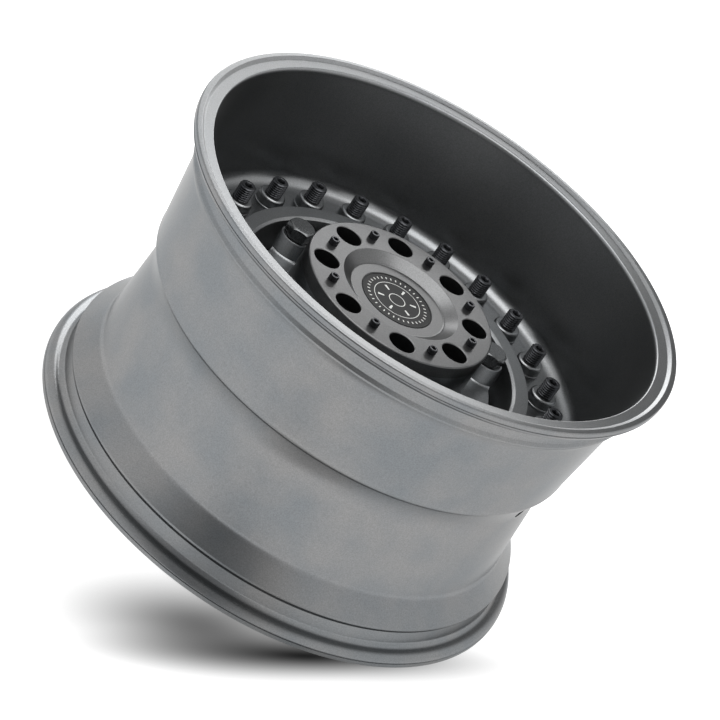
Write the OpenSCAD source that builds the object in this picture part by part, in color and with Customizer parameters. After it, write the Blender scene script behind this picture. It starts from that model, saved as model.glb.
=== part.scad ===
// Alloy wheel for a 20 x 12 inch tyre: one casting with a closed disc, a ring of studs,
// six hexagon bolts and a screwed hub plate with a dished cap.
// Frame: +Z points outboard and the origin is the centre of the hub mounting face.
// Heights named lip_ are measured from the plane in which the outboard flange is widest.

/* [Rim] */
// Bead seat diameter at the flange wall
rim_d = 512.8; // [508:0.1:530]
// Width between the two flange walls
rim_w = 304.8; // [298:0.1:320]
// Offset of the mounting face, negative when it lies inboard of the rim's middle
et = -44; // [-50:1:-40]
// Height of the flange above the bead seat
flange_h = 17.3; // [16.5:0.1:18]
// Radius of the rounded flange, seen from the tyre
flange_r = 9.5; // [8.5:0.1:10]
// Fillet between the flange wall and the bead seat
seat_fillet = 6.5; // [5:0.1:7]
// Distance from the flange wall to the crest of the safety hump
hump_in = 23.6; // [22:0.1:26]
// Height of the safety hump above the bead seat
hump_h = 0.9; // [0.5:0.1:1.5]
// Wall thickness of the barrel
wall = 4.7; // [4:0.1:6]
// Depth of the outboard barrel below the bead seat, where it starts
barrel_drop = 5.4; // [4:0.1:7]
// Depth of the shoulder below the bead seat, at the height of the disc
shoulder_drop = 14.8; // [13:0.1:17]
// Depth of the well below the bead seat, at its narrowest
well_drop = 25.7; // [23:0.1:28]
// Depth of the well below the bead seat, at its inboard end
well_end_drop = 19.9; // [18:0.1:22]
// Distance from the inboard flange wall to the end of the well
well_end_in = 52.3; // [48:0.1:56]
// Distance from the inboard flange wall to the step in the barrel
step_in = 45.1; // [40:0.1:47]

/* [Lip] */
// Height of the raised outer ring above the widest plane of the flange
lip_top = 4; // [3:0.1:5]
// Rounding of the outer edge of the lip
lip_round = 1.6; // [1:0.1:2]
// Radial width of the raised outer ring
lip_ring_w = 6.3; // [4:0.1:8]
// Radial width of the slope behind the raised ring
lip_slope_w = 3.1; // [2:0.1:6]
// Height of the flat band of the lip
lip_band = 0.5; // [0:0.1:1]
// Radial width of the flat band of the lip
lip_band_w = 10.3; // [9:0.1:11]
// Radial size of the rounded inner edge of the lip
lip_edge_w = 2.5; // [1.5:0.1:3]
// Depth of the rounded inner edge of the lip
lip_edge_h = 6.3; // [4:0.1:8]

/* [Disc] */
// Height of the disc's outboard face above the mounting face
web_z = 66.9; // [60:0.1:72]
// Thickness of the disc under the studs
web_t = 16; // [14:0.5:18]
// Fillet between the barrel and the disc
channel_fillet = 16.5; // [12:0.5:18]
// Radial width of the flat top of the raised ring
ring_w = 15.1; // [12:0.1:18]
// Height of the ring above the disc
ring_h = 20; // [15:0.5:24]
// Radial width of the bevel inside the ring
ring_bevel = 3.6; // [2:0.1:5]
// Radial width of the groove round the hub
groove_w = 16.2; // [12:0.1:18]
// Depth of the groove below the disc's face
groove_d = 26; // [18:0.5:28]
// Thickness of the casting under the groove
groove_t = 12; // [10:0.5:14]

/* [Hub] */
// Height of the hub plate's face above the mounting face
hub_h = 129.4; // [122:0.1:136]
// Diameter of the centre bore
bore_d = 125.1; // [120:0.1:128]
// Bolt circle diameter
pcd = 170; // [168:0.1:172]
// Number of wheel studs
lugs = 8; // [8:1:8]
// Diameter of the holes for the wheel studs
lug_hole_d = 15.8; // [14:0.1:17]
// Diameter of the wells for the wheel nuts
lug_well_d = 28; // [26:0.1:30]
// Width of metal outside the wells, which sets the radius of the hub
hub_rim_w = 6.4; // [5:0.1:8]
// Thickness of the mounting pad under the nuts
pad_t = 22; // [18:0.5:26]
// Thickness of the screwed hub plate
plate_t = 14; // [12:0.5:16]
// Radial width of the bevel round the hub plate
plate_bevel = 1.7; // [1:0.1:2.5]
// Depth of the relief pockets in the mounting pad
relief_d = 14; // [8:0.5:20]
// Width of the relief pockets in the mounting pad
relief_w = 16; // [12:0.5:18]

/* [Cap] */
// Width of metal between the dish and the openings for the wheel nuts
dish_gap = 3; // [2:0.1:6]
// Radial width of the sloping wall of the dish
dish_wall_w = 11.7; // [10:0.1:13]
// Depth of the dish
dish_d = 8.6; // [7:0.1:10]
// Wall thickness of the cap
cap_t = 2.6; // [2:0.1:3]
// Length of the skirt that snaps into the hub plate
skirt_h = 5; // [4:0.1:5.4]
// Radial width of the dish's flat floor round the badge disc
floor_w = 16.1; // [13:0.1:20]
// Thickness of the badge disc
badge_t = 1.6; // [1:0.1:2]
// Depth of the recess in the cap for the badge disc
badge_recess = 1.2; // [0.6:0.1:1.4]

/* [Fasteners] */
// Radius of the circle of ring studs
stud_circle_r = 201.35; // [199:0.05:204]
// Thread diameter of the ring studs and of the hexagon bolts
stud_d = 18; // [16:0.1:19]
// Height of a ring stud above its boss
stud_h = 17.3; // [14:0.1:24]
// Diameter of the boss round a ring stud
boss_d = 30; // [26:0.1:32]
// Height of the boss above the disc
boss_h = 13; // [8:0.1:15]
// Rounding of the shoulder of the boss
boss_round = 3; // [1.5:0.1:4]
// Distance from the hub to the circle of hexagon bolts
bolt_gap = 29; // [27.5:0.1:32]
// Distance from the circle of hexagon bolts to the groove
bolt_edge = 5.1; // [3:0.1:8]
// Width across the flats of the hexagon bolts
bolt_af = 27; // [24:0.5:28]
// Height of the head of a hexagon bolt
bolt_h = 12.8; // [10:0.1:15]
// Height of the towers under the hexagon bolts
tower_h = 16.6; // [14:0.1:18]
// Radius of a tower at its foot
tower_foot_r = 28; // [25:0.1:28.5]
// Radius of a tower at its top
tower_top_r = 17.6; // [17:0.1:19]
// Radius of the cap screw's head
screw_head_r = 5; // [4.5:0.1:6]
// Height of the cap screw's head
screw_head_h = 6.2; // [5:0.1:7]
// Thread diameter of the cap screws
screw_d = 6; // [5:0.1:6.5]
// Play between a thread and its hole, on the radius
play = 0.1; // [0.05:0.05:0.2]

/* [Valve] */
// Diameter of the valve hole
valve_d = 11.5; // [8.5:0.1:16]
// Diameter of the flat seat round the valve hole
valve_seat_d = 27; // [24:0.5:28]
// Height of the seat above the floor of the well
valve_seat_h = 2.9; // [2.6:0.1:4]
// Distance of the valve hole below the disc's outboard face
valve_drop = 24.5; // [23:0.5:26]
// Angle of the valve hole round the wheel
valve_a = -15; // [-180:1:180]

/* [Hidden] */
// Smoothness of round parts in the preview
$fn = 96;
RING_STUDS = 24;
HEX_BOLTS = 6;
ARC = 6;
OVER = 2;
HEX = 6;

// Heights of the two flange walls and of the widest circles of the flanges
out_wall = rim_w / 2 - et;
in_wall = -rim_w / 2 - et;
lip_z = out_wall + flange_r;
foot_z = in_wall - flange_r;

// Radii of the bead seat, the flange and the barrel
seat_r = rim_d / 2;
rim_r = seat_r + flange_h;
seat_slope = tan(5);
hump_r = seat_r + hump_h;
hump_half = 6;
barrel_r = seat_r - barrel_drop;
shoulder_r = seat_r - shoulder_drop;
well_r = seat_r - well_drop;
well_end_r = seat_r - well_end_drop;

// Heights of the barrel's stations
barrel_z = out_wall - hump_in - 12;
shoulder_z = web_z + 3.5;
shoulder_round = 8;
shoulder_turn = 50;
well_z = web_z - 36;
well_start_z = web_z - 21;
well_end_z = in_wall + well_end_in;
step_z = in_wall + step_in;
step_r = well_end_r + 3;
in_hump_z = in_wall + hump_in;

// The lip, seen in section
lip_ring_r = rim_r - lip_ring_w;
lip_band_r = lip_ring_r - lip_slope_w;
lip_edge_r = lip_band_r - lip_band_w;
foot_face_w = 11.5;
foot_inner_r = seat_r - 6;

// Radii of the hub, the bolt circle, the groove and the raised ring
hub_r = pcd / 2 + lug_well_d / 2 + hub_rim_w;
bolt_circle_r = hub_r + bolt_gap;
groove_ri = bolt_circle_r + bolt_edge;
ring_ri = groove_ri + groove_w + ring_bevel;
ring_ro = ring_ri + ring_w;

// Radii of the dish and the badge disc
dish_ro = pcd / 2 - lug_well_d / 2 - dish_gap;
dish_ri = dish_ro - dish_wall_w;
badge_r = dish_ri - floor_w;

// The disc, seen in section
web_back_z = web_z - web_t;
groove_ro = ring_ri - ring_bevel;
hub_back_z = web_z - groove_d - groove_t;
small_fillet = 4;
hub_top_z = hub_h - plate_t;
channel_r = shoulder_r - wall + 1.6;
channel_z = web_z + channel_fillet;
mount_r = hub_r - 3.4;
edge = 0.8;
stud_hole_d = 22;

// The hexagon bolts and their towers
tower_top_z = web_z + tower_h;
tower_lean = 10;
bolt_turn = 34;
bolt_first_a = 37.5;
bolt_shank = 26;
screw_shank = plate_t + 12;
lug_first_a = 22.5;

// Points on an elliptical arc about a centre, from angle a0 to angle a1
function arc(c, rx, rz, a0, a1, n = ARC) =
    [for (i = [0:n]) let (a = a0 + (a1 - a0) * i / n) [c[0] + rx * cos(a), c[1] + rz * sin(a)]];

// Names of a group of equal parts, numbered from 1
function names(stem, n) = [for (i = [1:n]) str(stem, "_", i)];

// Tyre side of one flange, from its widest circle to the crest of the hump, going away from it
function flange(wall_z, way) = concat(
    arc([rim_r - flange_r, wall_z + way * flange_r], flange_r, -way * flange_r, 0, 90),
    arc([seat_r + seat_fillet, wall_z - way * seat_fillet], -seat_fillet, way * seat_fillet, 90, 0),
    [[seat_r - seat_slope * (hump_in - hump_half), wall_z - way * (hump_in - hump_half)],
     [hump_r, wall_z - way * (hump_in - 1)],
     [hump_r, wall_z - way * (hump_in + 1)]]);

// Tyre side of the whole rim, from the outboard flange to the inboard one
function tyre_side() = concat(
    flange(out_wall, 1),
    [[barrel_r, barrel_z], [shoulder_r, shoulder_z]],
    arc([shoulder_r - shoulder_round, shoulder_z - 4], shoulder_round, shoulder_round, 0, -shoulder_turn, 4),
    [[well_r + 2.3, well_start_z], [well_r, well_z], [well_end_r, well_end_z],
     [step_r, step_z]],
    reverse(flange(in_wall, -1)));

function reverse(list) = [for (i = [len(list) - 1:-1:0]) list[i]];

// Inboard flange edge and the hollow side of the barrel up to the back of the disc
function brake_side() = concat(
    arc([rim_r - lip_round, foot_z - lip_top + lip_round], lip_round, lip_round, 0, -90, 3),
    [[rim_r - foot_face_w, foot_z - lip_top],
     [foot_inner_r, in_wall - 3], [foot_inner_r, in_hump_z - 3],
     [step_r - wall, step_z - 3], [well_end_r - wall, well_end_z],
     [well_r - wall, well_z]],
    arc([well_r - wall - channel_fillet, web_back_z - channel_fillet], channel_fillet, channel_fillet, 0, 90));

// Back of the disc and the mounting pad, from the barrel to the bore
function disc_back() = concat(
    [[ring_ro + 6, web_back_z], [ring_ri - 6, hub_back_z]],
    arc([hub_r + 8, hub_back_z - 8], 8, 8, 90, 180),
    [[hub_r, 4], [mount_r, 0], [bore_d / 2 + 2, 0], [bore_d / 2, 2]]);

// Front of the hub, the groove and the ring, from the bore to the channel
function disc_front() = concat(
    [[bore_d / 2, hub_top_z], [hub_r, hub_top_z]],
    arc([hub_r + small_fillet, web_z + small_fillet], small_fillet, small_fillet, 180, 270, 4),
    [[groove_ri - edge, web_z], [groove_ri, web_z - edge]],
    arc([groove_ri + small_fillet, web_z - groove_d + small_fillet], small_fillet, small_fillet, 180, 270, 4),
    arc([groove_ro - small_fillet, web_z - groove_d + small_fillet], small_fillet, small_fillet, 270, 360, 4),
    [[groove_ro, web_z + ring_h - 2.4], [groove_ro + edge, web_z + ring_h - 1.6],
     [ring_ri, web_z + ring_h], [ring_ro - edge, web_z + ring_h], [ring_ro, web_z + ring_h - edge]],
    arc([ring_ro + small_fillet, web_z + small_fillet], small_fillet, small_fillet, 180, 270, 4));

// Hollow front of the barrel and the face of the lip
function dish_side() = concat(
    arc([channel_r - channel_fillet, channel_z], channel_fillet, channel_fillet, -90, 0),
    [[barrel_r - wall + 0.3, barrel_z]],
    arc([lip_edge_r, lip_z + lip_band - lip_edge_h], -lip_edge_w, lip_edge_h, 0, 90, 5),
    [[lip_band_r, lip_z + lip_band], [lip_ring_r, lip_z + lip_top]],
    arc([rim_r - lip_round, lip_z + lip_top - lip_round], lip_round, lip_round, 90, 0, 3));

// Puts a copy of its child at each place of a circle
module around(n, first_a, r) {
    for (i = [0:n - 1]) rotate([0, 0, first_a + i * 360 / n]) translate([r, 0, 0]) children();
}

// Round solid from radius and height pairs that start and end on its own axis
module turned(points) {
    rotate_extrude() polygon(points);
}

// Well, cone seat and hole for one wheel stud
module lug_well() {
    seat_r1 = lug_well_d / 2 - 3;
    seat_h = (seat_r1 - lug_hole_d / 2) / tan(30);
    turned([[0, -OVER], [lug_hole_d / 2, -OVER], [lug_hole_d / 2, pad_t - seat_h],
            [seat_r1, pad_t], [lug_well_d / 2, pad_t], [lug_well_d / 2, hub_h + OVER],
            [0, hub_h + OVER]]);
}

// Round-ended pocket in the mounting pad, between two wheel studs
module relief_pocket() {
    reach = relief_w / 2;
    translate([-reach / 2, 0, -OVER]) cylinder(d = relief_w, h = relief_d + OVER);
    translate([reach / 2, 0, -OVER]) cylinder(d = relief_w, h = relief_d + OVER);
    translate([-reach / 2, -relief_w / 2, -OVER]) cube([reach, relief_w, relief_d + OVER]);
}

// Boss round one ring stud, with a rounded shoulder
module stud_boss() {
    top = web_z + boss_h;
    turned(concat([[0, web_z - OVER], [boss_d / 2, web_z - OVER]],
                  arc([boss_d / 2 - boss_round, top - boss_round], boss_round, boss_round, 0, 90, 4),
                  [[0, top]]));
}

// Tower under one hexagon bolt, about the bolt's own axis
module bolt_tower() {
    draft = (tower_foot_r - tower_top_r) / (tower_h - edge);
    turned([[0, web_z - OVER], [tower_foot_r + OVER * draft, web_z - OVER], [tower_top_r, tower_top_z - edge],
            [tower_top_r - edge, tower_top_z], [0, tower_top_z]]);
}

// All towers, cut outside by a cone that leans out over the groove
module bolt_towers() {
    lean = tower_lean / tower_h;
    intersection() {
        around(HEX_BOLTS, bolt_first_a, bolt_circle_r) bolt_tower();
        turned([[0, web_z - 2 * OVER], [groove_ri - 2 * OVER * lean, web_z - 2 * OVER],
                [groove_ri + (tower_h + OVER) * lean, tower_top_z + OVER], [0, tower_top_z + OVER]]);
    }
}

// Radial valve hole in the well, with the flat seat that is cut into the slope above it
module valve_hole() {
    inner_r = well_r - wall - 30;
    rotate([0, 0, valve_a]) translate([0, 0, web_z - valve_drop]) rotate([0, 90, 0]) {
        translate([0, 0, inner_r]) cylinder(d = valve_d, h = rim_r - inner_r);
        translate([0, 0, well_r + valve_seat_h]) cylinder(d = valve_seat_d, h = 20);
    }
}

module wheel_casting() {
    color("dimgray") difference() {
        union() {
            rotate_extrude() polygon(concat(disc_front(), dish_side(), tyre_side(), brake_side(), disc_back()));
            around(RING_STUDS, 0, stud_circle_r) stud_boss();
            bolt_towers();
        }
        around(lugs, lug_first_a, pcd / 2) lug_well();
        around(lugs, 0, pcd / 2) relief_pocket();
        around(lugs, 0, pcd / 2)
            translate([0, 0, hub_h - screw_shank]) cylinder(r = screw_d / 2 + play, h = screw_shank);
        around(RING_STUDS, 0, stud_circle_r)
            translate([0, 0, web_z + boss_h - stud_hole_d]) cylinder(r = stud_d / 2 + play, h = stud_hole_d + OVER);
        around(HEX_BOLTS, bolt_first_a, bolt_circle_r)
            translate([0, 0, tower_top_z - bolt_shank]) cylinder(r = stud_d / 2 + play, h = bolt_shank + OVER);
        valve_hole();
    }
}

// Screwed plate with the openings for the wheel nuts and the seat of the cap
module hub_plate() {
    seat_drop = dish_d;
    color("slategray") difference() {
        turned([[0, hub_top_z], [hub_r, hub_top_z], [hub_r, hub_h - 1.2],
                [hub_r - plate_bevel, hub_h], [0, hub_h]]);
        turned([[0, hub_top_z - OVER], [dish_ri + play, hub_top_z - OVER], [dish_ri + play, hub_h - seat_drop],
                [dish_ro, hub_h], [dish_ro, hub_h + OVER], [0, hub_h + OVER]]);
        around(lugs, lug_first_a, pcd / 2) turned([[0, hub_top_z - OVER], [lug_well_d / 2, hub_top_z - OVER],
            [lug_well_d / 2, hub_h - 1], [lug_well_d / 2 + 1, hub_h], [lug_well_d / 2 + 1, hub_h + OVER],
            [0, hub_h + OVER]]);
        around(lugs, 0, pcd / 2)
            translate([0, 0, hub_top_z - OVER]) cylinder(r = screw_d / 2 + play, h = plate_t + 2 * OVER);
    }
}

// Dished cap: its cone lies in the cone of the hub plate and its skirt passes through the plate
module centre_cap() {
    floor_z = hub_h - dish_d;
    color("gray") difference() {
        turned([[0, floor_z - skirt_h], [dish_ri, floor_z - skirt_h], [dish_ri, floor_z], [dish_ro, hub_h],
                [dish_ro, hub_h + OVER], [0, hub_h + OVER]]);
        turned([[0, floor_z], [dish_ri - cap_t, floor_z], [dish_ro - cap_t, hub_h], [dish_ro - cap_t, hub_h + 2 * OVER],
                [0, hub_h + 2 * OVER]]);
        turned([[0, hub_h], [dish_ro + OVER, hub_h], [dish_ro + OVER, hub_h + 2 * OVER], [0, hub_h + 2 * OVER]]);
        turned([[0, floor_z - badge_recess], [badge_r + play, floor_z - badge_recess],
                [badge_r + play, floor_z + OVER], [0, floor_z + OVER]]);
        turned([[0, floor_z - skirt_h - OVER], [dish_ri - cap_t, floor_z - skirt_h - OVER],
                [dish_ri - cap_t, floor_z - badge_recess - cap_t], [0, floor_z - badge_recess - cap_t]]);
    }
}

// Plain badge disc with a raised rim
module cap_badge() {
    base_z = hub_h - dish_d - badge_recess;
    color("black") difference() {
        turned([[0, base_z], [badge_r, base_z], [badge_r, base_z + badge_t - 0.3],
                [badge_r - 0.3, base_z + badge_t], [0, base_z + badge_t]]);
        turned([[0, base_z + badge_t - 0.4], [badge_r - 1.6, base_z + badge_t - 0.4],
                [badge_r - 1.3, base_z + badge_t + OVER], [0, base_z + badge_t + OVER]]);
    }
}

// Socket head cap screw on the hub plate
module cap_screw() {
    socket_af = screw_d - 1;
    color("black") translate([0, 0, hub_h]) difference() {
        turned([[0, -screw_shank], [screw_d / 2, -screw_shank], [screw_d / 2, 0], [screw_head_r, 0],
                [screw_head_r, screw_head_h - 0.6], [screw_head_r - 0.6, screw_head_h], [0, screw_head_h]]);
        translate([0, 0, screw_head_h / 2])
            cylinder(d = socket_af / cos(30), h = screw_head_h, $fn = HEX);
    }
}

// Stud with a hexagon socket in its tip
module ring_stud() {
    foot = web_z + boss_h - stud_hole_d;
    tip = web_z + boss_h + stud_h;
    tip_bevel = 1.2;
    color("black") difference() {
        turned([[0, foot], [stud_d / 2, foot], [stud_d / 2, tip - tip_bevel],
                [stud_d / 2 - tip_bevel, tip], [0, tip]]);
        translate([0, 0, tip - 6]) cylinder(d = 8 / cos(30), h = 6 + OVER, $fn = HEX);
    }
}

// Hexagon bolt whose head is bevelled above and has a washer face below
module hex_bolt() {
    corner_r = bolt_af / cos(30) / 2;
    face_r = bolt_af * 0.46;
    color("black") translate([0, 0, tower_top_z]) rotate([0, 0, bolt_turn]) {
        intersection() {
            translate([0, 0, edge]) cylinder(r = corner_r, h = bolt_h, $fn = HEX);
            turned([[0, 0], [corner_r + OVER, 0],
                    [corner_r + OVER, bolt_h + edge - (corner_r + OVER - face_r) * tan(30)],
                    [face_r, bolt_h + edge], [0, bolt_h + edge]]);
        }
        cylinder(r = bolt_af / 2 - edge, h = edge);
        translate([0, 0, -bolt_shank]) cylinder(d = stud_d, h = bolt_shank);
    }
}

wheel_casting();
hub_plate();
centre_cap();
cap_badge();
for (i = [1:lugs]) rotate([0, 0, (i - 1) * 360 / lugs]) translate([pcd / 2, 0, 0]) cap_screw();
for (i = [1:RING_STUDS]) rotate([0, 0, (i - 1) * 360 / RING_STUDS]) translate([stud_circle_r, 0, 0]) ring_stud();
for (i = [1:HEX_BOLTS]) rotate([0, 0, bolt_first_a + (i - 1) * 360 / HEX_BOLTS]) translate([bolt_circle_r, 0, 0]) hex_bolt();
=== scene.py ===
# %% [markdown]
# # A deep alloy wheel
# The wheel stands on its inboard flange with its face up. Every size below is in millimetres, as on a
# workshop drawing, and the mesh helpers turn it into Blender's metres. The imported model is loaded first,
# because it fixes where each piece sits. Each solid of it is then replaced by a finer mesh with its own
# finish.

# %% Load the wheel's solids
import math

import bmesh
import bpy
from mathutils import Matrix, Vector


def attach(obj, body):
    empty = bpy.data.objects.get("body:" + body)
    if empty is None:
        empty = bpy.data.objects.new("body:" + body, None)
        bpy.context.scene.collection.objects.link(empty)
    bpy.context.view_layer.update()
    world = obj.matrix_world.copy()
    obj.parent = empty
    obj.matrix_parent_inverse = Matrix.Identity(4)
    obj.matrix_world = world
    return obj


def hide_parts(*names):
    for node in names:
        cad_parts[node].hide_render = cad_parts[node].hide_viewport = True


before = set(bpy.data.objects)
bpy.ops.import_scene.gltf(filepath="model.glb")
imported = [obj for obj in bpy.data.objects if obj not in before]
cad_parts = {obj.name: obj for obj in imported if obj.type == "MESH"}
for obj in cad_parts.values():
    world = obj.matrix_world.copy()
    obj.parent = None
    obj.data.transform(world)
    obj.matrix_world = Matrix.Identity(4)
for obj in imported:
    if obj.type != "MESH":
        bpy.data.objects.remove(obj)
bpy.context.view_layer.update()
BODY = "root"
MM = 0.001

# %% [markdown]
# ## The camera
# The picture was taken with a long lens from 30 degrees above the disc, with the camera rolled by 35 degrees,
# so that the wheel seems to lean. A camera could be set by eye, but then no edge would quite meet the
# picture's. Here place, aim, roll and focal length come from fitting the wheel's circles to the picture.

# %% Place the camera
CAMERA_AT = Vector((162.75, -2754.30, 1633.23)) * MM
CAMERA_AIM = Vector((8.0655, -71.6556, 81.238)) * MM
CAMERA_ROLL = math.radians(34.9554)
PICTURE = 720
FOCAL_PIXELS = 3151.63
SENSOR = 36.0


def make_camera():
    """A camera that looks from CAMERA_AT to CAMERA_AIM, rolled about its own axis."""
    data = bpy.data.cameras.new("camera")
    data.sensor_width = SENSOR
    data.lens = FOCAL_PIXELS / PICTURE * SENSOR
    data.clip_end = 100
    camera = bpy.data.objects.new("camera", data)
    bpy.context.scene.collection.objects.link(camera)
    level = (CAMERA_AIM - CAMERA_AT).to_track_quat("-Z", "Y").to_matrix().to_4x4()
    camera.matrix_world = Matrix.Translation(CAMERA_AT) @ level @ Matrix.Rotation(CAMERA_ROLL, 4, "Z")
    return camera


bpy.context.scene.camera = make_camera()
print("camera", round((CAMERA_AIM - CAMERA_AT).length, 3), "m from its aim")

# %% [markdown]
# ## Turning, the main operation
# A wheel is cast and then turned on a lathe, so nearly every surface is a section swept round the axis.
# Blender's Screw modifier could sweep it too. Helpers of our own make a closed mesh in one step, which the
# later cuts need. One sweeps a section into a ring, and another closes it on the axis for pins, bosses and
# drills. A section is a list of radius and height pairs, and its rounded corners are arcs.

# %% Helpers that sweep a section
RIM_STEPS = 360
FINE = 10


def arc(centre, across, along, start, end, steps=FINE):
    """Points on an ellipse about centre, from angle start to angle end in degrees."""
    turns = [math.radians(start + (end - start) * i / steps) for i in range(steps + 1)]
    return [(centre[0] + across * math.cos(t), centre[1] + along * math.sin(t)) for t in turns]


def add_mesh(name, points, faces):
    """An object from points in millimetres."""
    mesh = bpy.data.meshes.new(name)
    mesh.from_pydata([Vector(p) * MM for p in points], [], faces)
    mesh.update()
    piece = bpy.data.objects.new(name, mesh)
    bpy.context.scene.collection.objects.link(piece)
    return piece


def tidy_faces(piece):
    """Turns all faces outward."""
    work = bmesh.new()
    work.from_mesh(piece.data)
    bmesh.ops.recalc_face_normals(work, faces=work.faces)
    work.to_mesh(piece.data)
    work.free()
    return piece


def swept_ring(name, section, steps):
    """A ring from a closed section that stays clear of the axis."""
    count = len(section)
    points = []
    for i in range(steps):
        a = math.tau * i / steps
        points += [(r * math.cos(a), r * math.sin(a), z) for r, z in section]
    faces = []
    for i in range(steps):
        near, far = i * count, (i + 1) % steps * count
        faces += [(near + k, near + (k + 1) % count, far + (k + 1) % count, far + k) for k in range(count)]
    return tidy_faces(add_mesh(name, points, faces))


def turned(name, section, steps=64):
    """A solid from a section that starts and ends on the axis, with one point there at each end."""
    inner = section[1:-1]
    count = len(inner)
    points = [(0, 0, section[0][1]), (0, 0, section[-1][1])]
    for i in range(steps):
        a = math.tau * i / steps
        points += [(r * math.cos(a), r * math.sin(a), z) for r, z in inner]
    faces = []
    for i in range(steps):
        near, far = 2 + i * count, 2 + (i + 1) % steps * count
        faces += [(near + k, near + k + 1, far + k + 1, far + k) for k in range(count - 1)]
        faces += [(0, near, far), (near + count - 1, 1, far + count - 1)]
    return tidy_faces(add_mesh(name, points, faces))


print("helpers ready: arc, swept_ring, turned")

# %% [markdown]
# ## Joining and cutting
# Bosses and bolt towers belong to the casting, and wells and holes are drilled into it. Blender's Manifold
# boolean does both quickly on closed meshes. Its result then gets smooth shading with true edges kept sharp,
# and normals weighted by face area, so that flat faces stay flat beside a fillet. A thread does without the
# weighting, because all of it is curved.

# %% Helpers that copy, join and cut
def settle(piece):
    """Puts the result of all modifiers into the piece's own mesh."""
    graph = bpy.context.evaluated_depsgraph_get()
    mesh = bpy.data.meshes.new_from_object(piece.evaluated_get(graph))
    old = piece.data
    piece.modifiers.clear()
    piece.data = mesh
    mesh.name = piece.name
    bpy.data.meshes.remove(old)
    return piece


def combine(piece, tool, operation):
    """Joins, cuts or intersects piece with tool, and removes tool."""
    step = piece.modifiers.new(operation.lower(), "BOOLEAN")
    step.operation = operation
    step.solver = "MANIFOLD"
    step.object = tool
    bpy.context.view_layer.update()
    settle(piece)
    bpy.data.objects.remove(tool)
    return piece


def placed(angle, radius, height=0.0, turn=0.0):
    """The place of a feature on a circle round the wheel's axis."""
    out = Matrix.Rotation(math.radians(angle), 4, "Z") @ Matrix.Translation(Vector((radius, 0, height)) * MM)
    return out @ Matrix.Rotation(math.radians(turn), 4, "Z")


def around(count, first, radius, height=0.0, turn=0.0):
    """Equal places round the wheel's axis."""
    return [placed(first + i * 360 / count, radius, height, turn) for i in range(count)]


def pattern(name, piece, places):
    """One object with a copy of the piece at each place, and the piece itself removed."""
    work = bmesh.new()
    for place in places:
        copy = piece.data.copy()
        copy.transform(place)
        work.from_mesh(copy)
        bpy.data.meshes.remove(copy)
    mesh = bpy.data.meshes.new(name)
    work.to_mesh(mesh)
    work.free()
    bpy.data.objects.remove(piece)
    joined = bpy.data.objects.new(name, mesh)
    bpy.context.scene.collection.objects.link(joined)
    return joined


def soften(piece, width, angle):
    """Rounds the edges that are sharper than the angle."""
    step = piece.modifiers.new("edge", "BEVEL")
    step.width = width * MM
    step.segments = 2
    step.limit_method = "ANGLE"
    step.angle_limit = math.radians(angle)
    return settle(piece)


def shade(piece, sharp=32.0, flat_first=True):
    """Smooth shading that keeps edges sharper than the angle."""
    piece.data.shade_smooth()
    piece.data.set_sharp_from_angle(angle=math.radians(sharp))
    if not flat_first:
        return piece
    step = piece.modifiers.new("flat_faces_first", "WEIGHTED_NORMAL")
    step.keep_sharp = True
    step.weight = 60
    return settle(piece)


print("helpers ready: combine, pattern, soften, shade")

# %% [markdown]
# ## The casting
# On the real wheel the rim, the disc, the raised ring, the groove, the hub and all bosses are one casting,
# so here they are one mesh as well. Separate meshes that only touch would be quicker to make, but the light
# would break where they meet. The sizes come first. They start from the bead seat, the width and the offset,
# which give a rim its size, and the rest is measured from these.

# %% Sizes of the rim
SEAT_R = 512.8 / 2
SEAT_TAPER = 5.0
RIM_W = 304.8
OFFSET = -44.0
FLANGE_H = 17.3
FLANGE_R = 9.5
SEAT_FILLET = 6.5
HUMP_IN = 23.6
HUMP_H = 0.9
HUMP_HALF = 6.0
WALL = 4.7
OUT_WALL = RIM_W / 2 - OFFSET
IN_WALL = -RIM_W / 2 - OFFSET
LIP_Z = OUT_WALL + FLANGE_R
FOOT_Z = IN_WALL - FLANGE_R
RIM_R = SEAT_R + FLANGE_H
HUMP_R = SEAT_R + HUMP_H
# The line turned into each flange: depth under the widest circle, and distance from the flange's wall
TURNED_LINE = ((0.05, 8.8), (1.0, 8.4), (1.0, 7.3), (0.3, 6.9))
print("rim", RIM_R * 2, "mm across, flange faces", LIP_Z - FOOT_Z, "mm apart")

# %% Sizes of the barrel and the lip
BARREL_R = SEAT_R - 5.4
BARREL_Z = OUT_WALL - HUMP_IN - 12
SHOULDER_R = SEAT_R - 14.8
SHOULDER_ROUND = 8.0
SHOULDER_DROP = 4.0
WELL_R = SEAT_R - 25.7
WELL_START_R = WELL_R + 2.3
WELL_END_R = SEAT_R - 19.9
WELL_END_Z = IN_WALL + 52.3
STEP_R = WELL_END_R + 3
STEP_Z = IN_WALL + 45.1
IN_HUMP_Z = IN_WALL + HUMP_IN
LIP_TOP = 4.0
LIP_ROUND = 1.6
LIP_RING_R = RIM_R - 6.3
LIP_RING_ROUND = 1.2
LIP_BAND_R = LIP_RING_R - 3.1
LIP_BAND = 0.5
LIP_LEAN = 0.9
LIP_EDGE_R = LIP_BAND_R - 10.3
LIP_EDGE = (2.5, 6.3)
print("well", round(SEAT_R - WELL_R, 1), "mm deep, lip ring", round(RIM_R - LIP_RING_R, 1), "mm wide")

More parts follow.
